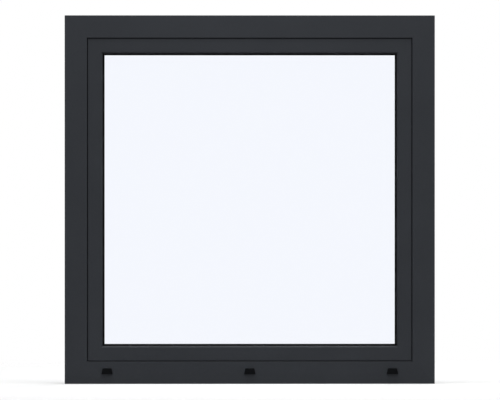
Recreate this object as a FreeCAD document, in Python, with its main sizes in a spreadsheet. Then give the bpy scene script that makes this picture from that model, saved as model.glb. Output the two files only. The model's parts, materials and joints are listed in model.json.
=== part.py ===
"""Tilt and turn window: a thermally broken aluminium frame and sash with a double glazed unit.

The window is drawn as one section, the way a profile system is. In that section u runs inwards from
the frame's outer edge and v runs from the outside face towards the room. Every member is a part of
the section run along one side of the window and cut at its corners.

In the finished model X is to the right seen from outside, Y points into the room and Z is up.
"""

import FreeCAD
import Part
import Sketcher
import os
from types import SimpleNamespace

DIMENSIONS = {
    # Overall, in millimetres
    "frame_width": 900,
    "frame_height": 896,
    "frame_depth": 70,
    "sash_proud": 9,
    "sash_setback": 3.5,
    # Widths seen from outside
    "frame_face": 54.6,
    "shadow_gap": 1.6,
    "sash_face": 36.1,
    "edge_bevel": 3.5,
    "gasket_show": 4.8,
    # Extrusions
    "wall": 2,
    "edge_round": 0.8,
    "mitre_joint": 0.1,
    "outer_depth": 22,
    "break_span": 26,
    "frame_inner_height": 30,
    "hardware_gap": 11.5,
    "lock_mouth": 12,
    "lock_depth": 5.5,
    "room_overlap": 8,
    "overlap_gap": 3,
    # Polyamide bars and the claws that hold them
    "bar_thickness": 2.2,
    "claw_width": 1.6,
    "claw_length": 3,
    "frame_bar_inset": 8,
    "sash_bar_inset": 3,
    # Glazing
    "glazing_rebate": 22,
    "lip_depth": 7,
    "lip_tip": 6.5,
    "groove_wall": 1.8,
    "groove_width": 2.9,
    "groove_depth": 3,
    "outer_gasket": 4,
    "gasket_edge": 0.8,
    "pane_thickness": 4,
    "glass_cavity": 16,
    "glass_edge_gap": 5,
    "spacer_height": 6.5,
    "edge_seal_height": 3.5,
    "inner_gasket": 5,
    "inner_gasket_height": 10,
    "inner_gasket_show": 1.5,
    "bead_setback": 1,
    "bead_wall": 1.5,
    "bead_round": 1.5,
    "block_length": 100,
    "block_inset": 60,
    # Seals between frame and sash
    "seal_width": 7,
    "centre_seal_depth": 10,
    "centre_seal_offset": 7,
    "centre_seal_height": 15,
    "seal_wall": 2.5,
    # Drain slots and caps in the sill
    "drain_inset": 103,
    "drain_slot_width": 18,
    "drain_slot_height": 5,
    "cap_width": 27,
    "cap_top_width": 21.5,
    "cap_height": 13.7,
    "cap_depth": 6.5,
    "cap_top_depth": 4.5,
    "cap_wall": 1.2,
    "cap_base": 24,
    "cap_chamfer": 1,
    # Handle
    "handle_height": 448,
    "rose_width": 30,
    "rose_length": 70,
    "rose_depth": 10,
    "rose_corner": 6,
    "rose_chamfer": 1.5,
    "lever_reach": 57,
    "lever_drop": 122,
    "lever_width": 20,
    "lever_thickness": 11,
    "neck_height": 20,
    "bend_radius": 15,
    "inner_bend": 7,
    "lever_tip_round": 5,
    "lever_edge": 3,
    "collar_radius": 13,
    "collar_length": 3,
    # Hinges
    "hinge_inset": 32,
    "hinge_axis_u": 13,
    "hinge_axis_proud": 4,
    "knuckle_radius": 7.5,
    "knuckle_length": 36,
    "knuckle_gap": 0.5,
    "pin_radius": 4,
    "pin_clearance": 0.1,
    "pin_end": 2,
    "pin_chamfer": 1,
    "leaf_thickness": 4,
    "leaf_reach": 36,
    "leaf_round": 5,
    # Fixing holes through the jambs
    "fixing_radius": 4,
    "fixing_inset": 148,
}
TOUCH = 1e-6


class Size:
    """A length that knows its value and the spreadsheet expression that gives it."""

    def __init__(self, text, value):
        self.text = text
        self.value = value

    def __add__(self, other):
        return Size(f"({self.text} + {text_of(other)})", self.value + number(other))

    def __radd__(self, other):
        return Size(f"({text_of(other)} + {self.text})", number(other) + self.value)

    def __sub__(self, other):
        return Size(f"({self.text} - {text_of(other)})", self.value - number(other))

    def __rsub__(self, other):
        return Size(f"({text_of(other)} - {self.text})", number(other) - self.value)

    def __mul__(self, factor):
        return Size(f"({self.text} * {factor})", self.value * factor)

    def __truediv__(self, divisor):
        return Size(f"({self.text} / {divisor})", self.value / divisor)

    def __neg__(self):
        return Size(f"(-{self.text})", -self.value)


def number(size):
    return size.value if isinstance(size, Size) else float(size)


def text_of(size):
    return size.text if isinstance(size, Size) else str(size)


def bind(thing, name, size):
    """Sets a property of a document object from the spreadsheet."""
    thing.setExpression(name, text_of(size))


def place(thing, x, y, z, turn=0.0, axis=(0, 1, 0)):
    """Places an object, with its position bound to the spreadsheet."""
    rotation = FreeCAD.Rotation(FreeCAD.Vector(*axis), turn)
    thing.Placement = FreeCAD.Placement(FreeCAD.Vector(number(x), number(y), number(z)), rotation)
    bind(thing, "Placement.Base.x", x)
    bind(thing, "Placement.Base.y", y)
    bind(thing, "Placement.Base.z", z)


def make_sheet(document):
    """Writes the driving dimensions to a spreadsheet and returns them as sizes."""
    sheet = document.addObject("Spreadsheet::Sheet", "dims")
    for row, (name, value) in enumerate(DIMENSIONS.items(), start=1):
        sheet.set(f"A{row}", name)
        sheet.set(f"B{row}", str(value))
        sheet.setAlias(f"B{row}", name)
    document.recompute()
    return SimpleNamespace(**{name: Size(f"dims.{name}", float(sheet.get(name))) for name in DIMENSIONS})


def add_section_lines(d):
    """Adds the lines of the section that several pieces share."""
    d.sash_edge = d.frame_face + d.shadow_gap
    d.sight_line = d.sash_edge + d.sash_face
    d.rebate_floor = d.sight_line - d.glazing_rebate
    d.lip_start = d.sight_line - d.lip_tip
    d.inner_start = d.outer_depth + d.break_span
    d.room_face = d.frame_depth + d.sash_proud
    d.hardware_face = d.frame_inner_height + d.hardware_gap
    d.overlap_edge = d.frame_inner_height - d.room_overlap
    d.glass_edge = d.rebate_floor + d.glass_edge_gap
    d.sash_skin = d.sash_setback + d.wall
    d.lip_back = d.sash_setback + d.lip_depth
    d.glass_face = d.lip_back + d.outer_gasket
    d.cavity_start = d.glass_face + d.pane_thickness
    d.inner_pane = d.cavity_start + d.glass_cavity
    d.glass_back = d.inner_pane + d.pane_thickness
    d.bead_front = d.glass_back + d.inner_gasket
    d.bead_back = d.room_face - d.bead_setback
    d.groove_near = d.lip_start + d.groove_wall
    d.groove_far = d.groove_near + d.groove_width
    d.groove_floor = d.lip_back - d.groove_depth
    d.flange_back = d.frame_depth + d.overlap_gap
    d.flange_front = d.room_face - d.wall
    d.frame_bars = (d.frame_bar_inset, d.frame_inner_height - d.frame_bar_inset)
    d.sash_bars = (d.sash_edge + d.sash_bar_inset, d.rebate_floor - d.sash_bar_inset)
    # The origin is at the middle of the flat underside of the sill's outer profile
    d.outside_y = -(d.outer_depth / 2)
    d.left_x = -(d.frame_width / 2)
    d.right_x = d.frame_width / 2


def base_plane(body, role):
    return next(plane for plane in body.Origin.OriginFeatures if plane.Role == role)


def new_body(document, label):
    body = document.addObject("PartDesign::Body", label)
    body.Label = label
    return body


def new_sketch(body, role, offset=None):
    """A sketch on one of the body's base planes, or parallel to it at an offset."""
    sketch = body.newObject("Sketcher::SketchObject", "sketch")
    sketch.AttachmentSupport = [(base_plane(body, role), "")]
    sketch.MapMode = "FlatFace"
    if offset is not None:
        sketch.AttachmentOffset = FreeCAD.Placement(
            FreeCAD.Vector(0, 0, number(offset)), FreeCAD.Rotation()
        )
        bind(sketch, "AttachmentOffset.Base.z", offset)
    return sketch


def start_of(line):
    return line, 1


def end_of(line):
    return line, 2


def centre_of(circle):
    return circle, 3


def distance_to(point, axis, size):
    """Constraint and expression that hold one coordinate of a sketch point at a size.

    A sketch's own X axis is its line -1, which starts at the sketch's origin, and its Y axis is line -2.
    """
    if number(size) == 0:
        line = -2 if axis == "X" else -1
        return Sketcher.Constraint("PointOnObject", *point, line), None
    constraint = Sketcher.Constraint(f"Distance{axis}", *start_of(-1), *point, number(size))
    return constraint, text_of(size)


def add_bound(sketch, pairs):
    """Adds constraints, each with the expression that drives it or None."""
    first = sketch.ConstraintCount
    sketch.addConstraint([constraint for constraint, _ in pairs])
    for index, (_, expression) in enumerate(pairs, start=first):
        if expression is not None:
            sketch.setExpression(f"Constraints[{index}]", expression)


def draw_loop(sketch, points):
    """Draws a closed outline of straight lines through points given as sizes."""
    first = sketch.GeometryCount
    count = len(points)
    corners = [FreeCAD.Vector(number(x), number(y), 0) for x, y in points]
    sketch.addGeometry(
        [Part.LineSegment(a, b) for a, b in zip(corners, corners[1:] + corners[:1])], False
    )
    pairs = []
    for i, (x, y) in enumerate(points):
        following = first + (i + 1) % count
        joined = Sketcher.Constraint("Coincident", *end_of(first + i), *start_of(following))
        pairs.append((joined, None))
        pairs.append(distance_to(start_of(first + i), "X", x))
        pairs.append(distance_to(start_of(first + i), "Y", y))
    add_bound(sketch, pairs)


def draw_circle(sketch, x, y, radius):
    index = sketch.GeometryCount
    centre = FreeCAD.Vector(number(x), number(y), 0)
    sketch.addGeometry(Part.Circle(centre, FreeCAD.Vector(0, 0, 1), number(radius)), False)
    round_to = Sketcher.Constraint("Radius", index, number(radius))
    add_bound(sketch, [
        (round_to, text_of(radius)),
        distance_to(centre_of(index), "X", x),
        distance_to(centre_of(index), "Y", y),
    ])


def rectangle(x0, y0, x1, y1):
    return [(x0, y0), (x1, y0), (x1, y1), (x0, y1)]


def add_pad(body, sketch, length, reverse=False, symmetric=False):
    pad = body.newObject("PartDesign::Pad", "pad")
    pad.Profile = sketch
    bind(pad, "Length", length)
    pad.Reversed = reverse
    if symmetric:
        pad.SideType = "Symmetric"
    return pad


def add_pocket(body, sketch, length=None, reverse=False):
    """Cuts a sketch to a depth, or right through where no depth is given."""
    pocket = body.newObject("PartDesign::Pocket", "pocket")
    pocket.Profile = sketch
    pocket.Reversed = reverse
    if length is None:
        pocket.Type = "ThroughAll"
    else:
        bind(pocket, "Length", length)
    return pocket


def edges_through(shape, direction, points):
    """Names of a shape's straight edges that run along a direction and pass through given points.

    Each point has the two coordinates across the direction, in X, Y, Z order.
    """
    across = [axis for axis in "xyz" if axis != direction]
    names = []
    for index, edge in enumerate(shape.Edges, start=1):
        first, last = edge.firstVertex().Point, edge.lastVertex().Point
        for place_across in points:
            on_line = all(
                abs(getattr(end, axis) - number(size)) < TOUCH
                for end in (first, last)
                for axis, size in zip(across, place_across)
            )
            if on_line:
                names.append(f"Edge{index}")
    return names


def add_fillet(body, feature, names, radius):
    body.Document.recompute()
    fillet = body.newObject("PartDesign::Fillet", "fillet")
    fillet.Base = (feature, names)
    bind(fillet, "Radius", radius)
    return fillet


def add_chamfer(body, feature, names, size):
    body.Document.recompute()
    chamfer = body.newObject("PartDesign::Chamfer", "chamfer")
    chamfer.Base = (feature, names)
    bind(chamfer, "Size", size)
    return chamfer


def round_edges(body, feature, direction, points, radius):
    """Rounds the straight edges of a feature that run along a direction through points."""
    body.Document.recompute()
    return add_fillet(body, feature, edges_through(feature.Shape, direction, points), radius)


class Side:
    """One side of the window: its length and how a member lies along it."""

    def __init__(self, name, length, x, z, turn):
        self.name = name
        self.length = length
        self.x = x
        self.z = z
        self.turn = turn


def window_sides(d):
    return {
        "left": Side("left", d.frame_height, d.left_x, 0, 0),
        "right": Side("right", d.frame_height, d.right_x, d.frame_height, 180),
        "bottom": Side("bottom", d.frame_width, d.right_x, 0, -90),
        "top": Side("top", d.frame_width, d.left_x, d.frame_height, 90),
    }


def mitre_ends(d, length, reach):
    """The two corners that a 45 degree cut takes off a member as wide as reach."""
    joint = d.mitre_joint
    return [
        [(0, 0), (reach, 0), (reach, reach + joint), (0, joint)],
        [(0, length), (reach, length), (reach, length - reach - joint), (0, length - joint)],
    ]


def square_ends(length, reach, start):
    """The two ends that square cuts take off a member as wide as reach."""
    return [rectangle(0, 0, reach, start), rectangle(0, length - start, reach, length)]


def run_member(document, label, d, side, loops, ends, rounds=()):
    """Runs a section along one side of the window and cuts its two ends.

    rounds lists the corners of the section that are rounded, each with its radius.
    """
    body = new_body(document, label)
    body.AllowCompound = True
    section = new_sketch(body, "XY_Plane")
    for loop in loops:
        draw_loop(section, loop)
    feature = add_pad(body, section, side.length)
    for corners, radius in rounds:
        feature = round_edges(body, feature, "z", corners, radius)
    cut = new_sketch(body, "XZ_Plane")
    for loop in ends:
        draw_loop(cut, loop)
    add_pocket(body, cut)
    place(body, side.x, d.outside_y, side.z, side.turn)
    return body


def claw_corners(d, centre, wall_v, tip_v):
    """The corners of a pair of claws on a wall, either side of a bar, in order of rising u."""
    inner = d.bar_thickness / 2
    outer = inner + d.claw_width
    return [
        (centre - outer, wall_v), (centre - outer, tip_v), (centre - inner, tip_v), (centre - inner, wall_v),
        (centre + inner, wall_v), (centre + inner, tip_v), (centre + outer, tip_v), (centre + outer, wall_v),
    ]


def claw_row(d, bars, wall_v, tip_v):
    return [corner for centre in bars for corner in claw_corners(d, centre, wall_v, tip_v)]


def outer_claws(d, bars):
    return claw_row(d, bars, d.outer_depth, d.outer_depth + d.claw_length)


def inner_claws(d, bars):
    return claw_row(d, bars, d.inner_start, d.inner_start - d.claw_length)


def lock_groove(d, face, depth, low, high):
    """A groove for the locking rods: a channel behind two lips, in order of rising v.

    The face that it opens in is at u = face, and depth is signed: negative towards smaller u. The
    channel takes all of the span from low to high but its two walls.
    """
    middle = (low + high) / 2
    lip = face + d.wall * (1 if number(depth) > 0 else -1)
    floor = face + depth
    mouth_low = middle - d.lock_mouth / 2
    mouth_high = middle + d.lock_mouth / 2
    channel_low = low + d.wall
    channel_high = high - d.wall
    return [
        (face, mouth_low), (lip, mouth_low), (lip, channel_low), (floor, channel_low),
        (floor, channel_high), (lip, channel_high), (lip, mouth_high), (face, mouth_high),
    ]


def frame_outer_section(d):
    outline = [(d.frame_face, 0), (0, 0), (0, d.outer_depth)]
    outline += outer_claws(d, d.frame_bars)
    outline.append((d.frame_face, d.outer_depth))
    web = d.frame_inner_height - d.wall
    back = d.outer_depth - d.wall
    chambers = [
        rectangle(d.wall, d.wall, web, back),
        rectangle(d.frame_inner_height, d.wall, d.frame_face - d.wall, back),
    ]
    return [outline] + chambers


def frame_inner_section(d):
    outline = [(d.frame_inner_height, d.frame_depth), (0, d.frame_depth), (0, d.inner_start)]
    outline += inner_claws(d, d.frame_bars)
    outline.append((d.frame_inner_height, d.inner_start))
    outline += lock_groove(d, d.frame_inner_height, -d.lock_depth, d.inner_start, d.frame_depth)
    far = d.frame_inner_height - d.lock_depth - d.wall
    chamber = rectangle(d.wall, d.inner_start + d.wall, far, d.frame_depth - d.wall)
    return [outline, chamber]


def sash_outer_section(d):
    front = d.sash_setback
    outline = [(d.rebate_floor, d.sash_skin), (d.lip_start, d.sash_skin), (d.lip_start, d.lip_back)]
    outline += [
        (d.groove_near, d.lip_back), (d.groove_near, d.groove_floor),
        (d.groove_far, d.groove_floor), (d.groove_far, d.lip_back),
    ]
    outline += [(d.sight_line, d.lip_back), (d.sight_line, front + d.edge_bevel)]
    outline += [(d.sight_line - d.edge_bevel, front), (d.sash_edge, front), (d.sash_edge, d.outer_depth)]
    outline += outer_claws(d, d.sash_bars)
    outline.append((d.rebate_floor, d.outer_depth))
    back = d.outer_depth - d.wall
    chamber = rectangle(d.sash_edge + d.wall, d.sash_skin, d.rebate_floor - d.wall, back)
    return [outline, chamber]


def sash_inner_section(d):
    outline = [(d.rebate_floor, d.room_face), (d.overlap_edge, d.room_face), (d.overlap_edge, d.flange_back)]
    outline += [(d.overlap_edge + d.wall, d.flange_back), (d.overlap_edge + d.wall, d.flange_front)]
    outline.append((d.hardware_face, d.flange_front))
    outline += reversed(lock_groove(d, d.hardware_face, d.lock_depth, d.inner_start, d.flange_front))
    outline.append((d.hardware_face, d.inner_start))
    outline += inner_claws(d, d.sash_bars)
    outline.append((d.rebate_floor, d.inner_start))
    near = d.hardware_face + d.lock_depth + d.wall
    chamber = rectangle(near, d.inner_start + d.wall, d.rebate_floor - d.wall, d.room_face - d.wall)
    return [outline, chamber]


def bar_sections(d, bars):
    half = d.bar_thickness / 2
    return [rectangle(centre - half, d.outer_depth, centre + half, d.inner_start) for centre in bars]


def bead_section(d):
    outer = rectangle(d.rebate_floor, d.bead_front, d.sight_line, d.bead_back)
    wall = d.bead_wall
    inner = rectangle(
        d.rebate_floor + wall, d.bead_front + wall, d.sight_line - wall, d.bead_back - wall
    )
    return [outer, inner]


def outer_gasket_section(d):
    shown = d.sight_line + d.gasket_show
    return [
        (d.lip_start, d.lip_back), (d.groove_near, d.lip_back), (d.groove_near, d.groove_floor),
        (d.groove_far, d.groove_floor), (d.groove_far, d.lip_back), (d.sight_line, d.lip_back),
        (shown, d.glass_face - d.gasket_edge), (shown, d.glass_face), (d.lip_start, d.glass_face),
    ]


def inner_gasket_section(d):
    shown = d.sight_line + d.inner_gasket_show
    foot = d.sight_line - d.inner_gasket_height
    return [
        (foot, d.glass_back), (shown, d.glass_back), (shown, d.glass_back + d.gasket_edge),
        (d.sight_line, d.bead_front), (foot, d.bead_front),
    ]


def room_seal_section(d):
    """A seal in the corner of the sash's flange, with a lip that leans on the frame."""
    near = d.overlap_edge + d.wall
    far = near + d.seal_width
    return [
        (near, d.frame_depth), (near + d.seal_wall, d.frame_depth), (far, d.flange_front - d.seal_wall),
        (far, d.flange_front), (near, d.flange_front),
    ]


def centre_seal_section(d):
    """A hollow seal that stands on the frame's inner bar and leans its lip on the sash's outer bar.

    Returns its outline and its hollow.
    """
    foot = d.frame_bars[1] + d.bar_thickness / 2
    shoulder = foot + d.centre_seal_height
    front = d.outer_depth + d.centre_seal_offset
    back = front + d.centre_seal_depth
    tip = d.sash_bars[0] - d.bar_thickness / 2
    wall = d.seal_wall
    outline = [
        (foot, front), (shoulder, front), (tip, front), (tip, front + wall),
        (shoulder, front + wall * 2), (shoulder, back), (foot, back),
    ]
    return outline, rectangle(foot + wall, front + wall, shoulder - wall, back - wall)


def add_pipe(body, kind, path, loop, d):
    """Adds or takes away a closed outline run round all four sides, with mitred corners."""
    profile = new_sketch(body, "XY_Plane", offset=d.frame_height / 2)
    draw_loop(profile, loop)
    pipe = body.newObject(kind, "pipe")
    pipe.Profile = profile
    pipe.Spine = path
    pipe.Transition = "Right corner"


def round_ring(document, label, d, outline, hollow=None):
    """Runs a section, which may be hollow, round all four sides as one piece."""
    body = new_body(document, label)
    path = new_sketch(body, "XZ_Plane")
    draw_loop(path, rectangle(0, 0, d.frame_width, d.frame_height))
    add_pipe(body, "PartDesign::AdditivePipe", path, outline, d)
    if hollow is not None:
        add_pipe(body, "PartDesign::SubtractivePipe", path, hollow, d)
    place(body, d.left_x, d.outside_y, 0)
    return body


def plate(document, label, d, edge, v, thickness, opening=None):
    """A sheet parallel to the glass, its edge at one distance in from the frame's outer edge."""
    body = new_body(document, label)
    outline = new_sketch(body, "XZ_Plane")
    draw_loop(outline, rectangle(edge, edge, d.frame_width - edge, d.frame_height - edge))
    if opening is not None:
        draw_loop(outline, rectangle(opening, opening, d.frame_width - opening, d.frame_height - opening))
    add_pad(body, outline, thickness, reverse=True)
    place(body, d.left_x, d.outside_y + v, 0)
    return body


def make_frame(document, d, sides):
    pieces = []
    for side in sides.values():
        ends = mitre_ends(d, side.length, d.frame_face)
        rounds = [(((0, 0), (d.frame_face, 0)), d.edge_round)]
        outer = run_member(
            document, f"frame_outer_{side.name}", d, side, frame_outer_section(d), ends, rounds
        )
        if side.name == "bottom":
            cut_drain_slots(outer, d)
        ends = mitre_ends(d, side.length, d.frame_inner_height)
        rounds = [(((0, d.frame_depth), (d.frame_inner_height, d.frame_depth)), d.edge_round)]
        inner = run_member(
            document, f"frame_inner_{side.name}", d, side, frame_inner_section(d), ends, rounds
        )
        if side.name in ("left", "right"):
            drill_fixing_holes(inner, d)
        pieces += [outer, inner]
    return pieces


def drain_places(d):
    return (d.drain_inset, d.frame_width / 2, d.frame_width - d.drain_inset)


def cut_drain_slots(body, d):
    """Slots through the sill's outside wall, just above the floor of its upper chamber."""
    sketch = new_sketch(body, "XZ_Plane")
    floor = d.frame_inner_height
    half = d.drain_slot_width / 2
    for centre in drain_places(d):
        draw_loop(sketch, rectangle(floor, centre - half, floor + d.drain_slot_height, centre + half))
    add_pocket(body, sketch, d.wall)


def drill_fixing_holes(body, d):
    """Holes for the frame screws, through both walls of a jamb's inner profile."""
    sketch = new_sketch(body, "YZ_Plane")
    middle = (d.inner_start + d.frame_depth) / 2
    for height in (d.fixing_inset, d.frame_height - d.fixing_inset):
        draw_circle(sketch, middle, height, d.fixing_radius)
    add_pocket(body, sketch, reverse=True)


def make_sash(document, d, sides):
    pieces = []
    for side in sides.values():
        ends = mitre_ends(d, side.length, d.sight_line)
        rounds = [(((d.sash_edge, d.sash_setback),), d.edge_round)]
        pieces.append(run_member(
            document, f"sash_outer_{side.name}", d, side, sash_outer_section(d), ends, rounds
        ))
        rounds = [(((d.overlap_edge, d.room_face), (d.rebate_floor, d.room_face)), d.edge_round)]
        pieces.append(run_member(
            document, f"sash_inner_{side.name}", d, side, sash_inner_section(d), ends, rounds
        ))
    return pieces


def make_thermal_bars(document, d, sides):
    """Polyamide bars between the outer and inner profiles, two to a member."""
    pieces = []
    for part_name, bars in (("frame", d.frame_bars), ("sash", d.sash_bars)):
        for direction, names in (("upright", ("left", "right")), ("level", ("bottom", "top"))):
            members = [
                run_member(
                    document, f"{part_name}_bars_{name}", d, sides[name], bar_sections(d, bars),
                    mitre_ends(d, sides[name].length, d.sight_line),
                )
                for name in names
            ]
            group = document.addObject("Part::Compound", f"{part_name}_thermal_bars_{direction}")
            group.Links = members
            pieces.append(group)
    return pieces


def make_beads(document, d, sides):
    """Glazing beads: the level ones run through, the upright ones stand between them."""
    pieces = []
    for side in sides.values():
        start = d.sight_line if side.name in ("left", "right") else d.rebate_floor
        ends = square_ends(side.length, d.sight_line, start)
        rounds = [
            (((d.sight_line, d.bead_back),), d.bead_round),
            (((d.rebate_floor, d.bead_back),), d.edge_round),
        ]
        pieces.append(run_member(
            document, f"glazing_bead_{side.name}", d, side, bead_section(d), ends, rounds
        ))
    return pieces


def make_glazing(document, d):
    spacer_edge = d.glass_edge + d.edge_seal_height
    spacer_inside = spacer_edge + d.spacer_height
    return [
        plate(document, "glass_outer_pane", d, d.glass_edge, d.glass_face, d.pane_thickness),
        plate(document, "glass_inner_pane", d, d.glass_edge, d.inner_pane, d.pane_thickness),
        plate(document, "spacer_bar", d, spacer_edge, d.cavity_start, d.glass_cavity, spacer_inside),
        plate(document, "edge_seal", d, d.glass_edge, d.cavity_start, d.glass_cavity, spacer_edge),
        make_glazing_blocks(document, d),
    ]


def make_glazing_blocks(document, d):
    """The two blocks on the sash's rebate floor that carry the glass."""
    body = new_body(document, "glazing_blocks")
    body.AllowCompound = True
    sketch = new_sketch(body, "XZ_Plane")
    near = d.glass_edge + d.block_inset
    far = d.frame_width - d.glass_edge - d.block_inset
    draw_loop(sketch, rectangle(near, d.rebate_floor, near + d.block_length, d.glass_edge))
    draw_loop(sketch, rectangle(far - d.block_length, d.rebate_floor, far, d.glass_edge))
    add_pad(body, sketch, d.glass_back - d.glass_face, reverse=True)
    place(body, d.left_x, d.outside_y + d.glass_face, 0)
    return body


def make_seals(document, d):
    return [
        round_ring(document, "outer_glazing_gasket", d, outer_gasket_section(d)),
        round_ring(document, "inner_glazing_gasket", d, inner_gasket_section(d)),
        round_ring(document, "room_side_seal", d, room_seal_section(d)),
        round_ring(document, "centre_seal", d, *centre_seal_section(d)),
    ]


def make_drain_caps(document, d):
    """Black hoods over the drain slots, open below and towards the slot."""
    return [
        drain_cap(document, f"drain_cap_{name}", d, place_along)
        for name, place_along in zip(("left", "middle", "right"), drain_places(d))
    ]


def drain_cap(document, label, d, place_along):
    """A hood that narrows upwards and leans back, shelled through its back and underside."""
    body = new_body(document, label)
    taper = (d.cap_width - d.cap_top_width) / 2
    front_view = new_sketch(body, "XZ_Plane")
    draw_loop(front_view, [
        (0, 0), (d.cap_width, 0), (d.cap_width - taper, d.cap_height), (taper, d.cap_height),
    ])
    add_pad(body, front_view, d.cap_depth, reverse=True)
    side_view = new_sketch(body, "YZ_Plane")
    draw_loop(side_view, [
        (d.cap_depth, 0), (d.cap_depth, d.cap_height), (d.cap_top_depth, d.cap_height),
    ])
    hood = add_pocket(body, side_view, reverse=True)
    document.recompute()
    shell = body.newObject("PartDesign::Thickness", "shell")
    shell.Base = (hood, open_faces(hood.Shape))
    shell.Reversed = True
    shell.Join = "Intersection"
    bind(shell, "Value", d.cap_wall)
    document.recompute()
    add_chamfer(body, shell, hood_edges(shell.Shape, d), d.cap_chamfer)
    half = d.cap_width / 2
    place(body, d.left_x + place_along + half, d.outside_y, d.cap_base, 180, (0, 0, 1))
    return body


def open_faces(shape):
    """The back and the underside of a hood, which lie on its body's own base planes."""
    return [
        f"Face{index}"
        for index, face in enumerate(shape.Faces, start=1)
        if all(abs(vertex.Point.y) < TOUCH for vertex in face.Vertexes)
        or all(abs(vertex.Point.z) < TOUCH for vertex in face.Vertexes)
    ]


def hood_edges(shape, d):
    """The outside edges of a hood's front and top, away from the wall that it sits on."""
    top = number(d.cap_height)
    names = []
    for index, edge in enumerate(shape.Edges, start=1):
        heights = sorted(vertex.Point.z for vertex in edge.Vertexes)
        at_top = heights[0] > top - TOUCH
        rises = heights[0] < TOUCH and heights[-1] > top - TOUCH
        on_wall = all(abs(vertex.Point.y) < TOUCH for vertex in edge.Vertexes)
        if (at_top or rises) and not on_wall:
            names.append(f"Edge{index}")
    return names


def make_handle(document, d):
    handle_x = d.left_x + (d.overlap_edge + d.rebate_floor) / 2
    face_y = d.outside_y + d.room_face
    return [handle_rose(document, d, handle_x, face_y), handle_lever(document, d, handle_x, face_y)]


def handle_rose(document, d, handle_x, face_y):
    body = new_body(document, "handle_rose")
    outline = new_sketch(body, "XZ_Plane")
    draw_loop(outline, rectangle(0, 0, d.rose_width, d.rose_length))
    pad = add_pad(body, outline, d.rose_depth, reverse=True)
    corners = [(0, 0), (d.rose_width, 0), (0, d.rose_length), (d.rose_width, d.rose_length)]
    corner_round = round_edges(body, pad, "y", corners, d.rose_corner)
    document.recompute()
    front = [
        f"Edge{index}"
        for index, edge in enumerate(corner_round.Shape.Edges, start=1)
        if all(abs(vertex.Point.y - number(d.rose_depth)) < TOUCH for vertex in edge.Vertexes)
    ]
    add_chamfer(body, corner_round, front, d.rose_chamfer)
    place(body, handle_x - d.rose_width / 2, face_y, d.handle_height - d.rose_length / 2)
    return body


def handle_lever(document, d, handle_x, face_y):
    """A flat lever that leaves the rose square to the sash and turns down along it."""
    body = new_body(document, "handle_lever")
    side_view = new_sketch(body, "YZ_Plane")
    grip = d.lever_reach - d.lever_thickness
    neck_low = d.lever_drop - d.neck_height / 2
    neck_high = d.lever_drop + d.neck_height / 2
    draw_loop(side_view, [
        (d.rose_depth, neck_low), (grip, neck_low), (grip, 0),
        (d.lever_reach, 0), (d.lever_reach, neck_high), (d.rose_depth, neck_high),
    ])
    feature = add_pad(body, side_view, d.lever_width, symmetric=True)
    feature = round_edges(body, feature, "x", [(d.lever_reach, neck_high)], d.bend_radius)
    feature = round_edges(body, feature, "x", [(grip, neck_low)], d.inner_bend)
    feature = round_edges(body, feature, "x", [(grip, 0), (d.lever_reach, 0)], d.lever_tip_round)
    document.recompute()
    half = number(d.lever_width) / 2
    sides = [
        f"Edge{index}"
        for index, edge in enumerate(feature.Shape.Edges, start=1)
        if all(abs(abs(vertex.Point.x) - half) < TOUCH for vertex in edge.Vertexes)
        and abs(edge.Vertexes[0].Point.x - edge.Vertexes[-1].Point.x) < TOUCH
        and not all(abs(vertex.Point.y - number(d.rose_depth)) < TOUCH for vertex in edge.Vertexes)
    ]
    add_fillet(body, feature, sides, d.lever_edge)
    collar = new_sketch(body, "XZ_Plane", offset=-d.rose_depth)
    draw_circle(collar, 0, d.lever_drop, d.collar_radius)
    add_pad(body, collar, d.collar_length, reverse=True)
    place(body, handle_x, face_y, d.handle_height - d.lever_drop)
    return body


def axis_circle(body, radius):
    """A circle about a hinge body's own axis."""
    sketch = new_sketch(body, "XY_Plane")
    draw_circle(sketch, 0, 0, radius)
    return sketch


def hinge_body(document, label, d, low):
    """A body whose Z axis is the hinge axis, with X to the window's middle and Y out of the room."""
    body = new_body(document, label)
    axis_v = d.room_face + d.hinge_axis_proud
    place(body, d.right_x - d.hinge_axis_u, d.outside_y + axis_v, low, 180, (0, 0, 1))
    return body


def add_barrel(body, d, carrier):
    """The block or leaf that carries a knuckle, with the knuckle's barrel on the hinge axis."""
    outline = new_sketch(body, "XY_Plane")
    draw_loop(outline, carrier)
    add_pad(body, outline, d.knuckle_length)
    return add_pad(body, axis_circle(body, d.knuckle_radius), d.knuckle_length)


def bore_for_pin(body, d):
    bore = axis_circle(body, d.pin_radius + d.pin_clearance)
    add_pocket(body, bore, d.knuckle_length, reverse=True)


def frame_knuckle(document, label, d, low):
    """A knuckle on a block that stands on the frame's room side face."""
    body = hinge_body(document, label, d, low)
    rise = d.sash_proud + d.hinge_axis_proud
    add_barrel(body, d, rectangle(-d.knuckle_radius, 0, d.knuckle_radius, rise))
    bore_for_pin(body, d)
    return body


def sash_knuckle(document, label, d, low):
    """A knuckle on a leaf that lies on the sash's room side face."""
    body = hinge_body(document, label, d, low)
    near = d.hinge_axis_proud - d.leaf_thickness
    barrel = add_barrel(body, d, rectangle(0, near, d.leaf_reach, d.hinge_axis_proud))
    corners = [(d.leaf_reach, 0), (d.leaf_reach, d.knuckle_length)]
    round_edges(body, barrel, "y", corners, d.leaf_round)
    bore_for_pin(body, d)
    return body


def hinge_pin(document, label, d, low, length):
    body = hinge_body(document, label, d, low)
    rod = add_pad(body, axis_circle(body, d.pin_radius), length)
    document.recompute()
    rims = [f"Edge{index}" for index, edge in enumerate(rod.Shape.Edges, start=1) if edge.isClosed()]
    add_chamfer(body, rod, rims, d.pin_chamfer)
    return body


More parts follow.
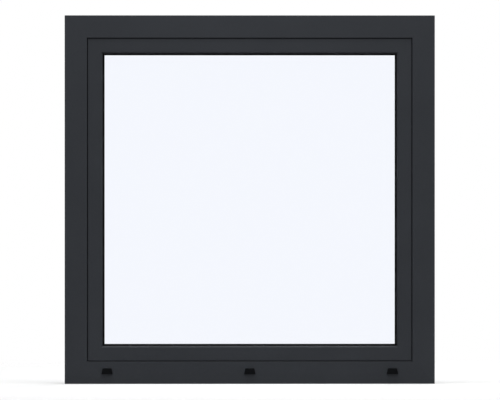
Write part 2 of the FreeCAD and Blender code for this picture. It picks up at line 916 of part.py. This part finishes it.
def make_hinge(document, d, name, frame_low, sash_low):
    """A frame knuckle, a sash knuckle with its leaf, and the pin through both."""
    lowest = frame_low if number(frame_low) < number(sash_low) else sash_low
    pin_length = d.knuckle_length * 2 + d.knuckle_gap + d.pin_end * 2
    return [
        frame_knuckle(document, f"hinge_{name}_frame_knuckle", d, frame_low),
        sash_knuckle(document, f"hinge_{name}_sash_knuckle", d, sash_low),
        hinge_pin(document, f"hinge_{name}_pin", d, lowest - d.pin_end, pin_length),
    ]


def make_hinges(document, d):
    step = d.knuckle_length + d.knuckle_gap
    top = d.frame_height - d.hinge_inset - d.knuckle_length
    return (
        make_hinge(document, d, "bottom", d.hinge_inset, d.hinge_inset + step)
        + make_hinge(document, d, "top", top, top - step)
    )


def check_objects(document, pieces):
    """Stops if any object failed, or a piece isn't a sound solid."""
    for thing in document.Objects:
        if {"Invalid", "Error"} & set(thing.State):
            raise RuntimeError(f"{thing.Label} failed: {thing.State}")
    for piece in pieces:
        shape = piece.Shape
        if shape.isNull() or not shape.isValid() or not shape.Solids:
            raise RuntimeError(f"{piece.Label} isn't a sound solid")


def build():
    document = FreeCAD.newDocument("tilt_and_turn_window")
    d = make_sheet(document)
    add_section_lines(d)
    sides = window_sides(d)
    pieces = make_frame(document, d, sides)
    pieces += make_sash(document, d, sides)
    pieces += make_thermal_bars(document, d, sides)
    pieces += make_beads(document, d, sides)
    pieces += make_glazing(document, d)
    pieces += make_seals(document, d)
    pieces += make_drain_caps(document, d)
    pieces += make_handle(document, d)
    pieces += make_hinges(document, d)
    document.recompute()
    check_objects(document, pieces)
    return pieces


def export(pieces):
    os.makedirs("parts", exist_ok=True)
    for piece in pieces:
        piece.Shape.exportStep(f"parts/{piece.Label}.step")


export(build())
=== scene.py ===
"""The looks of the tilt and turn window: finishes, screw heads, light, floor and camera, in metres."""

import json
import math

import bmesh
import bpy
from mathutils import Matrix, Vector


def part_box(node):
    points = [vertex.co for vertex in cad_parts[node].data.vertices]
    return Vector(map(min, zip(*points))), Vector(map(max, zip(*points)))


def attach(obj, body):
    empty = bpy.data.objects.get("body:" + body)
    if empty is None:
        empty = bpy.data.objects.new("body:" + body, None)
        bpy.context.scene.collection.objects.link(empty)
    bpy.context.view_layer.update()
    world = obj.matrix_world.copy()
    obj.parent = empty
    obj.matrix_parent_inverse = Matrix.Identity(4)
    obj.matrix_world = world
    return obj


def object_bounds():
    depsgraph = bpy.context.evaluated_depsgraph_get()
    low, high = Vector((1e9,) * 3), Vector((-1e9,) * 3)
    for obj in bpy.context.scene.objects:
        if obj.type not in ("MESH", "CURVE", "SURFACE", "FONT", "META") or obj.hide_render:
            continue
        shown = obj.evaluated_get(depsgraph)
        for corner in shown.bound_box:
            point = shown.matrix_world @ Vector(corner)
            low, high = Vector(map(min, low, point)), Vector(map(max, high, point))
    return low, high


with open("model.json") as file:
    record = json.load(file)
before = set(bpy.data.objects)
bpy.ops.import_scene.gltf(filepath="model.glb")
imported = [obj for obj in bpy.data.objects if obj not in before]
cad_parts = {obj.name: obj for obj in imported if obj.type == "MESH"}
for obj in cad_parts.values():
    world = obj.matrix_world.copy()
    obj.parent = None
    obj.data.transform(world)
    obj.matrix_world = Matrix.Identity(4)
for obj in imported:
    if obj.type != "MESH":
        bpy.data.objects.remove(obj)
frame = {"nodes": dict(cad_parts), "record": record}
cad_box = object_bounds()

MM = 0.001
WHITE = (1.0, 1.0, 1.0, 1.0)

# The picture that the camera matches: its size, and the window's outline in it, in pixels.
IMAGE_WIDTH = 500
IMAGE_HEIGHT = 400
OUTLINE_LEFT = 64.7
OUTLINE_RIGHT = 434.9
OUTLINE_TOP = 15.5
OUTLINE_BOTTOM = 383.8

# The camera: a long lens, a little to the left of the middle and a little above it.
SENSOR_WIDTH_MM = 36.0
CAMERA_DISTANCE = 20.0
CAMERA_AZIMUTH = math.radians(-1.0)
CAMERA_ELEVATION = math.radians(0.4)

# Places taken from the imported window.
OUTSIDE_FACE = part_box("frame_outer_bottom")[0].y
WINDOW_TOP = cad_box[1].z
WINDOW_WIDTH = cad_box[1].x - cad_box[0].x
WINDOW_CENTRE = Vector((0.0, OUTSIDE_FACE, WINDOW_TOP / 2))


class Finish:
    """A material on one Principled shader, with helpers for the nodes that vary it."""

    def __init__(self, name, **constants):
        self.material = bpy.data.materials.new(name)
        self.material.use_nodes = True
        self.tree = self.material.node_tree
        self.shader = self.tree.nodes["Principled BSDF"]
        for key, value in constants.items():
            self.shader.inputs[key.replace("_", " ")].default_value = value

    def node(self, kind, inputs=None, **settings):
        """A new node, with its inputs set to values or linked to other nodes' outputs."""
        made = self.tree.nodes.new(kind)
        for key, value in settings.items():
            setattr(made, key, value)
        for key, value in (inputs or {}).items():
            if isinstance(value, bpy.types.NodeSocket):
                self.tree.links.new(value, made.inputs[key])
            else:
                made.inputs[key].default_value = value
        return made

    def math(self, operation, first, second=0.0):
        return self.node("ShaderNodeMath", {0: first, 1: second}, operation=operation).outputs[0]

    def length(self, vector):
        return self.node("ShaderNodeVectorMath", {0: vector}, operation="LENGTH").outputs["Value"]

    def place(self, stretch=(1.0, 1.0, 1.0)):
        """The point's place in the window, stretched along each axis."""
        source = self.node("ShaderNodeTexCoord").outputs["Object"]
        return self.node("ShaderNodeMapping", {"Vector": source, "Scale": stretch}).outputs[0]

    def round_the_window(self, across, along):
        """Coordinates that run along each member and turn the corner at its mitre."""
        source = self.node("ShaderNodeTexCoord").outputs["Object"]
        split = self.node("ShaderNodeSeparateXYZ", {0: source}).outputs
        sideways = self.math("ABSOLUTE", split["X"])
        upright = self.math("ABSOLUTE", self.math("SUBTRACT", split["Z"], WINDOW_CENTRE.z))
        outward = self.math("MULTIPLY", self.math("MAXIMUM", sideways, upright), across)
        deep = self.math("MULTIPLY", split["Y"], across)
        lengthwise = self.math("MULTIPLY", self.math("MINIMUM", sideways, upright), along)
        return self.node("ShaderNodeCombineXYZ", {0: outward, 1: deep, 2: lengthwise}).outputs[0]

    def noise(self, vector, scale=1.0, detail=2.0):
        inputs = {"Vector": vector, "Scale": scale, "Detail": detail}
        return self.node("ShaderNodeTexNoise", inputs).outputs[0]

    def between(self, source, low, high, start=0.3, end=0.7):
        """Maps a source, from start to end, onto the values from low to high."""
        inputs = {"Value": source, "From Min": start, "From Max": end, "To Min": low, "To Max": high}
        return self.node("ShaderNodeMapRange", inputs).outputs[0]

    def tones(self, source, dark, pale, start=0.3, end=0.7):
        """A colour that goes from a dark to a pale tone as the source goes from start to end."""
        ramp = self.node("ShaderNodeValToRGB", {0: source})
        for stop, place, tone in zip(ramp.color_ramp.elements, (start, end), (dark, pale)):
            stop.position = place
            stop.color = (*tone, 1.0)
        return ramp.outputs[0]

    def link(self, **sources):
        """Links sources to the shader's sockets."""
        for key, source in sources.items():
            self.tree.links.new(source, self.shader.inputs[key.replace("_", " ")])

    def bumps(self, *layers):
        """Stacks bump layers, each a source and its depth in metres, onto the shader's normal."""
        normal = None
        for height, depth in layers:
            inputs = {"Height": height, "Distance": depth}
            if normal:
                inputs["Normal"] = normal
            normal = self.node("ShaderNodeBump", inputs).outputs[0]
        self.link(Normal=normal)

    def show(self, surface):
        """Puts another surface than the Principled shader alone on the material."""
        self.tree.links.new(surface, self.tree.nodes["Material Output"].inputs["Surface"])


def powder_coat():
    """Matt anthracite powder coat: soft cloudy tone, fine orange peel and a grain of powder."""
    cloud_share = 0.2
    finish = Finish("anthracite_powder_coat", Specular_IOR_Level=0.15)
    place = finish.place()
    clouds = finish.noise(place, scale=7.0)
    peel = finish.noise(place, scale=700.0)
    grain = finish.noise(place, scale=1500.0)
    die_lines = finish.noise(finish.round_the_window(across=900.0, along=12.0))
    cloudy = finish.math("MULTIPLY", clouds, cloud_share)
    grainy = finish.math("MULTIPLY", grain, 1.0 - cloud_share)
    mottle = finish.math("ADD", cloudy, grainy)
    finish.link(
        Base_Color=finish.tones(mottle, dark=(0.0170, 0.0190, 0.0231), pale=(0.0302, 0.0335, 0.0394)),
        Roughness=finish.between(grain, 0.46, 0.64),
    )
    finish.bumps((die_lines, 0.004 * MM), (peel, 0.04 * MM), (grain, 0.08 * MM))
    return finish.material


def rubber():
    """Black extruded rubber with faint lines along its length and a dull bloom."""
    finish = Finish("black_rubber", Specular_IOR_Level=0.03)
    lines = finish.noise(finish.round_the_window(across=2500.0, along=15.0))
    bloom = finish.noise(finish.place(), scale=60.0, detail=4.0)
    finish.link(
        Base_Color=finish.tones(bloom, dark=(0.0012, 0.0013, 0.0015), pale=(0.0030, 0.0031, 0.0034)),
        Roughness=finish.between(lines, 0.55, 0.75),
    )
    finish.bumps((lines, 0.02 * MM), (bloom, 0.01 * MM))
    return finish.material


def moulded_plastic():
    """Black moulded plastic with the fine even grain of an eroded mould."""
    finish = Finish("black_moulded_plastic", Specular_IOR_Level=0.035)
    grain = finish.noise(finish.place(), scale=3200.0)
    flow = finish.noise(finish.place((1.0, 1.0, 0.25)), scale=180.0)
    finish.link(
        Base_Color=finish.tones(flow, dark=(0.0019, 0.0022, 0.0028), pale=(0.0030, 0.0034, 0.0042)),
        Roughness=finish.between(grain, 0.5, 0.7),
    )
    finish.bumps((grain, 0.02 * MM))
    return finish.material


def polyamide():
    """Black polyamide bar with the pale flecks of its glass fibres drawn out along the bar."""
    finish = Finish("fibre_filled_polyamide", Specular_IOR_Level=0.2)
    fibres = finish.noise(finish.round_the_window(across=1800.0, along=160.0), detail=4.0)
    flecks = finish.tones(
        fibres, dark=(0.008, 0.008, 0.009), pale=(0.045, 0.045, 0.047), start=0.5, end=0.85
    )
    finish.link(Base_Color=flecks, Roughness=finish.between(fibres, 0.5, 0.7))
    finish.bumps((fibres, 0.02 * MM))
    return finish.material


def glass():
    """Clear float glass with a faint cool tint and a slow wave, which lets the lamps' light through."""
    tint = (0.951, 0.964, 0.995, 1.0)
    finish = Finish("clear_glass", Base_Color=tint, Transmission_Weight=1.0, IOR=1.5)
    haze = finish.noise(finish.place(), scale=35.0)
    wave = finish.noise(finish.place((1.0, 1.0, 0.2)), scale=9.0)
    finish.link(Roughness=finish.between(haze, 0.0, 0.012))
    finish.bumps((wave, 0.01 * MM))
    clear = finish.node("ShaderNodeBsdfTransparent", {"Color": tint}).outputs[0]
    shadow = finish.node("ShaderNodeLightPath").outputs["Is Shadow Ray"]
    pane = finish.shader.outputs[0]
    finish.show(finish.node("ShaderNodeMixShader", {0: shadow, 1: pane, 2: clear}).outputs[0])
    return finish.material


def spacer():
    """Dark spacer bar with drawn lines along it and a row of fine breathing holes, whose dark insides
    are painted shade over a shallow dent.
    """
    hole_pitch = 8.0 * MM
    hole_radius = 0.7 * MM
    hole_rim = 0.14 * MM
    low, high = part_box("spacer_bar")
    finish = Finish("dark_spacer", Metallic=0.7)
    lines = finish.noise(finish.round_the_window(across=2500.0, along=10.0))
    bar = finish.round_the_window(across=1.0, along=1.0)
    split = finish.node("ShaderNodeSeparateXYZ", {0: bar}).outputs
    from_row = finish.math("SUBTRACT", split["Y"], (low.y + high.y) / 2)
    along_row = finish.math("PINGPONG", split["Z"], hole_pitch / 2)
    from_hole = finish.node("ShaderNodeCombineXYZ", {0: from_row, 1: along_row}).outputs[0]
    distance = finish.length(from_hole)
    face = finish.between(distance, 0.0, 1.0, start=hole_radius - hole_rim, end=hole_radius + hole_rim)
    # The holes take the darkest tone: painted shade standing in for the shade inside each hole, above a
    # shallow bump dent.
    tone = finish.tones(face, dark=(0.006, 0.006, 0.007), pale=(0.05, 0.05, 0.055), start=0.0, end=1.0)
    finish.link(Base_Color=tone, Roughness=finish.between(lines, 0.35, 0.5))
    finish.bumps((lines, 0.01 * MM), (face, 0.3 * MM))
    return finish.material


def edge_sealant():
    """Black edge sealant, tooled by hand, slightly lumpy."""
    finish = Finish("black_edge_sealant", Specular_IOR_Level=0.3)
    lumps = finish.noise(finish.place(), scale=140.0, detail=4.0)
    finish.link(
        Base_Color=finish.tones(lumps, dark=(0.007, 0.007, 0.007), pale=(0.013, 0.013, 0.013)),
        Roughness=finish.between(lumps, 0.5, 0.75),
    )
    finish.bumps((lumps, 0.25 * MM))
    return finish.material


def block_plastic():
    """Blue setting block plastic with moulding streaks."""
    finish = Finish("setting_block_plastic", Specular_IOR_Level=0.4)
    streaks = finish.noise(finish.place((0.2, 1.0, 1.0)), scale=260.0, detail=3.0)
    finish.link(
        Base_Color=finish.tones(streaks, dark=(0.016, 0.085, 0.21), pale=(0.024, 0.115, 0.29)),
        Roughness=finish.between(streaks, 0.45, 0.65),
    )
    finish.bumps((streaks, 0.03 * MM))
    return finish.material


def brushed_metal(name, dark, pale, brushing, roughness):
    """Metal brushed along the axis that the brushing stretches least."""
    finish = Finish(name, Metallic=1.0)
    strokes = finish.noise(finish.place(brushing), detail=3.0)
    patches = finish.noise(finish.place(), scale=45.0)
    finish.link(
        Base_Color=finish.tones(patches, dark, pale),
        Roughness=finish.between(strokes, *roughness),
    )
    finish.bumps((strokes, 0.006 * MM))
    return finish.material


def dress_nodes(by_slot):
    """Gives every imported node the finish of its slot."""
    for entry in frame["record"]["subparts"]:
        for slot in frame["nodes"][entry["node"]].material_slots:
            slot.material = by_slot[entry["material_slot"]]


def add_object(name, data):
    """Puts a new object into the scene."""
    made = bpy.data.objects.new(name, data)
    bpy.context.scene.collection.objects.link(made)
    return made


def add_mesh(name, mesh, finish):
    """Puts a finished bmesh into the scene, in one finish."""
    data = bpy.data.meshes.new(name)
    mesh.to_mesh(data)
    mesh.free()
    data.materials.append(finish)
    return add_object(name, data)


def ring(mesh, radius, height, count, wave=0.0, lobes=6):
    """A closed row of points round the screw's axis, with a wave for the driver's lobes."""
    points = []
    for index in range(count):
        turn = 2 * math.pi * index / count
        reach = radius * (1 + wave * math.cos(lobes * turn))
        points.append(mesh.verts.new((reach * math.cos(turn), reach * math.sin(turn), height)))
    return points


def bridge(mesh, lower, upper):
    """Faces between two rows of the same number of points."""
    count = len(lower)
    for index in range(count):
        after = (index + 1) % count
        mesh.faces.new((lower[index], lower[after], upper[after], upper[index]))


def screw_head(name, place, radius, height, finish):
    """A low domed head with a six lobed recess, lying on a face that looks into the room."""
    count = 48
    dome_rows = 5
    socket_radius = 0.42 * radius
    rim_radius = 1.2 * socket_radius
    socket_floor_radius = 0.94 * socket_radius
    socket_depth = 0.7 * height
    lobe_wave = 0.14
    mesh = bmesh.new()
    rows = [ring(mesh, radius, 0.0, count)]
    for step in range(1, dome_rows + 1):
        share = step / dome_rows
        reach = radius + (rim_radius - radius) * share
        rows.append(ring(mesh, reach, height * math.sin(share * math.pi / 2), count))
    rows.append(ring(mesh, socket_radius, height, count, lobe_wave))
    rows.append(ring(mesh, socket_floor_radius, height - socket_depth, count, lobe_wave))
    for lower, upper in zip(rows, rows[1:]):
        bridge(mesh, lower, upper)
    mesh.faces.new(rows[-1])
    mesh.faces.new(list(reversed(rows[0])))
    bmesh.ops.recalc_face_normals(mesh, faces=mesh.faces)
    facing_room = Matrix.Rotation(-math.pi / 2, 4, "X")
    mesh.transform(Matrix.Translation(place) @ facing_room)
    piece = add_mesh(name, mesh, finish)
    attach(piece, "root")


def hinge_screws(finish):
    """Two screws through the leaf of each hinge into the sash."""
    head_radius = 3.6 * MM
    head_height = 1.8 * MM
    leaf_thickness = 4 * MM
    from_leaf_edge = 10 * MM
    half_spacing = 9.5 * MM
    leaf_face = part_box("sash_inner_right")[1].y + leaf_thickness
    for level in ("bottom", "top"):
        low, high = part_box(f"hinge_{level}_sash_knuckle")
        middle = (low.z + high.z) / 2
        for row, side in (("lower", -1), ("upper", 1)):
            place = Vector((low.x + from_leaf_edge, leaf_face, middle + side * half_spacing))
            screw_head(f"hinge_{level}_{row}_screw", place, head_radius, head_height, finish)


def seen_directly(tree):
    """One for the rays of the camera, of gloss and of glass, and nought for the rest."""
    path = tree.nodes.new("ShaderNodeLightPath")
    total = path.outputs["Is Camera Ray"]
    for kind in ("Is Glossy Ray", "Is Transmission Ray"):
        most = tree.nodes.new("ShaderNodeMath")
        most.operation = "MAXIMUM"
        tree.links.new(total, most.inputs[0])
        tree.links.new(path.outputs[kind], most.inputs[1])
        total = most.outputs[0]
    return total


def world_light(ambient):
    """White where the camera, gloss and glass look, and a plain grey sky that lights the window."""
    world = bpy.data.worlds.new("studio")
    bpy.context.scene.world = world
    world.use_nodes = True
    tree = world.node_tree
    backdrop = tree.nodes["Background"]
    sky = tree.nodes.new("ShaderNodeBackground")
    for background, strength in ((backdrop, 1.0), (sky, ambient)):
        background.inputs["Color"].default_value = WHITE
        background.inputs["Strength"].default_value = strength
    mixed = tree.nodes.new("ShaderNodeMixShader")
    tree.links.new(seen_directly(tree), mixed.inputs[0])
    tree.links.new(sky.outputs[0], mixed.inputs[1])
    tree.links.new(backdrop.outputs[0], mixed.inputs[2])
    tree.links.new(mixed.outputs[0], tree.nodes["World Output"].inputs["Surface"])


def floor_finish(albedo, glow, fade_start, fade_end):
    """Pale matt floor that keeps the window's shadow and fades into the white around it."""
    finish = Finish("pale_floor")
    fade = finish.between(finish.length(finish.place()), 0.0, 1.0, fade_start, fade_end)
    shown = finish.math("MULTIPLY", seen_directly(finish.tree), glow)
    emission = finish.node("ShaderNodeEmission", {"Strength": shown}).outputs[0]
    matt = finish.node("ShaderNodeBsdfDiffuse", {"Color": (albedo, albedo, albedo, 1.0)}).outputs[0]
    near = finish.node("ShaderNodeAddShader", {0: emission, 1: matt}).outputs[0]
    clear = finish.node("ShaderNodeBsdfTransparent").outputs[0]
    finish.show(finish.node("ShaderNodeMixShader", {0: fade, 1: near, 2: clear}).outputs[0])
    return finish.material


def lay_floor():
    """A flat floor under the sill, wide enough for the shadow."""
    fade_start = 0.9
    fade_end = 2.2
    mesh = bmesh.new()
    bmesh.ops.create_grid(mesh, x_segments=1, y_segments=1, size=fade_end)
    finish = floor_finish(albedo=0.6, glow=0.32, fade_start=fade_start, fade_end=fade_end)
    floor = add_mesh("floor", mesh, finish)


def softbox(name, place, aim, size, power):
    """A soft rectangular lamp that the camera doesn't see."""
    data = bpy.data.lights.new(name, "AREA")
    data.shape = "RECTANGLE"
    data.size, data.size_y = size
    data.energy = power
    lamp = add_object(name, data)
    lamp.location = place
    lamp.rotation_euler = (Vector(aim) - Vector(place)).to_track_quat("-Z", "Y").to_euler()
    lamp.visible_camera = False


def light_studio():
    """A large soft main light from high in front, two smaller ones above, and one in the room."""
    middle = (0.0, 0.0, WINDOW_TOP / 2)
    head = (0.0, 0.0, WINDOW_TOP)
    softbox("main_softbox", place=(0.0, -6.6, 7.0), aim=middle, size=(9.0, 9.0), power=388.0)
    softbox("overhead_softbox", place=(0.0, -0.35, 3.0), aim=middle, size=(2.0, 1.0), power=38.0)
    softbox("head_softbox", place=(-0.05, -0.4, 1.4), aim=head, size=(0.5, 0.2), power=1.3)
    softbox("room_softbox", place=(1.2, 2.6, 2.2), aim=middle, size=(1.6, 1.6), power=50.0)


def set_camera():
    """Looks at the outside of the window, at the scale and place of the picture."""
    picture_scale = WINDOW_WIDTH / (OUTLINE_RIGHT - OUTLINE_LEFT)
    back = Vector((
        math.sin(CAMERA_AZIMUTH) * math.cos(CAMERA_ELEVATION),
        -math.cos(CAMERA_AZIMUTH) * math.cos(CAMERA_ELEVATION),
        math.sin(CAMERA_ELEVATION),
    ))
    turn = (-back).to_track_quat("-Z", "Y")
    across = IMAGE_WIDTH / 2 - (OUTLINE_LEFT + OUTLINE_RIGHT) / 2
    down = IMAGE_HEIGHT / 2 - (OUTLINE_TOP + OUTLINE_BOTTOM) / 2
    offset = turn @ Vector((across * picture_scale, -down * picture_scale, 0.0))
    data = bpy.data.cameras.new("camera")
    data.sensor_width = SENSOR_WIDTH_MM
    data.lens = SENSOR_WIDTH_MM * CAMERA_DISTANCE / (IMAGE_WIDTH * picture_scale)
    data.clip_end = 3 * CAMERA_DISTANCE
    camera = add_object("camera", data)
    camera.location = WINDOW_CENTRE + offset + back * CAMERA_DISTANCE
    camera.rotation_euler = turn.to_euler()
    bpy.context.scene.camera = camera


coat = powder_coat()
steel = brushed_metal(
    "turned_steel",
    dark=(0.42, 0.42, 0.43),
    pale=(0.5, 0.5, 0.5),
    brushing=(300.0, 300.0, 4000.0),
    roughness=(0.28, 0.42),
)
anodised = brushed_metal(
    "satin_anodised",
    dark=(0.51, 0.52, 0.53),
    pale=(0.57, 0.58, 0.59),
    brushing=(4000.0, 4000.0, 60.0),
    roughness=(0.3, 0.46),
)
dress_nodes({
    "profile": coat,
    "hinge": coat,
    "thermal_break": polyamide(),
    "glass": glass(),
    "spacer": spacer(),
    "sealant": edge_sealant(),
    "setting_block": block_plastic(),
    "gasket": rubber(),
    "drain_cap": moulded_plastic(),
    "handle": anodised,
    "pin": steel,
})
hinge_screws(steel)
lay_floor()
world_light(ambient=0.39)
light_studio()
set_camera()
bpy.context.scene.view_settings.view_transform = "Standard"
